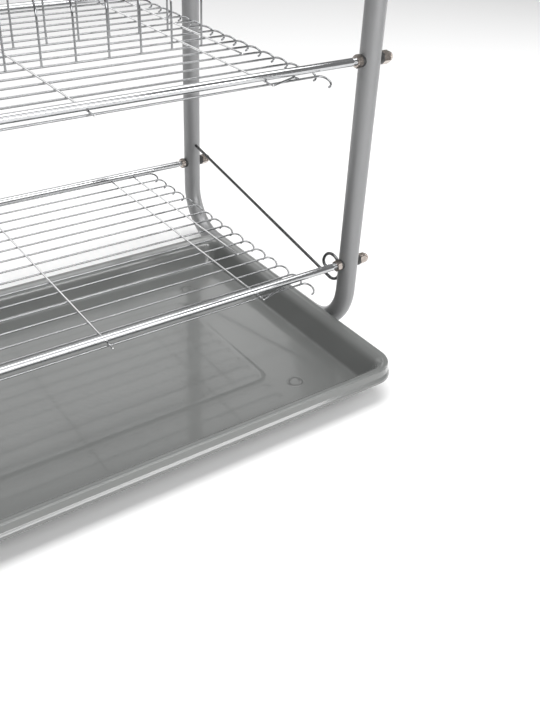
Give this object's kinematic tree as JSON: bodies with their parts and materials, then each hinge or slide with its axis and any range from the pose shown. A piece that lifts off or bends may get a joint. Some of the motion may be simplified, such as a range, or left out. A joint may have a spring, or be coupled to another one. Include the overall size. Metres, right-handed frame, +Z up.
{
  "type": "dish drying rack",
  "caption": "Two-tier wire dish rack with bent tube side frames, chrome bars bolted through them and a drip tray that slides out to the front.",
  "frame": {"origin": "centre of the footprint on the table, with the tray drawn out as it rests", "axes": "+X along the rack to its right, +Y to the rear, +Z up; the tray slides out along -Y"},
  "size_m": [0.569, 0.4138, 0.4],
  "materials": {
    "tray_plastic": "gloss grey moulded plastic",
    "frame_paint": "satin grey paint",
    "black_plastic": "matt black",
    "chrome": "bright chrome plate",
    "wire_chrome": "bright chrome plate on drawn wire",
    "stay_chrome": "chrome plate, a little dull",
    "nut_plate": "plated steel",
    "rubber": "matt rubber"
  },
  "bodies": {
    "rack": {"left_lower_tube": "frame_paint", "right_lower_tube": "frame_paint", "left_upper_tube": "frame_paint", "right_upper_tube": "frame_paint", "left_front_joiner": "black_plastic", "left_rear_joiner": "black_plastic", "right_front_joiner": "black_plastic", "right_rear_joiner": "black_plastic", "lower_front_bar": "chrome", "lower_rear_bar": "chrome", "upper_front_bar": "chrome", "upper_rear_bar": "chrome", "lower_shelf": "wire_chrome", "upper_shelf": "wire_chrome", "plate_divider": "wire_chrome", "left_side_stay": "stay_chrome", "right_side_stay": "stay_chrome", "left_inner_nuts": "nut_plate", "right_inner_nuts": "nut_plate", "left_cap_nuts": "nut_plate", "right_cap_nuts": "nut_plate", "left_inner_saddles": "black_plastic", "right_inner_saddles": "black_plastic", "left_outer_saddles": "black_plastic", "right_outer_saddles": "black_plastic", "left_front_foot": "rubber", "left_rear_foot": "rubber", "right_front_foot": "rubber", "right_rear_foot": "rubber"},
    "tray": {"drip_tray": "tray_plastic"}
  },
  "joints": [
    {"name": "tray_slide", "type": "slide", "parent": "rack", "child": "tray", "axis": [0, -1, 0], "range_m": [-0.089, 0.11]}
  ]
}
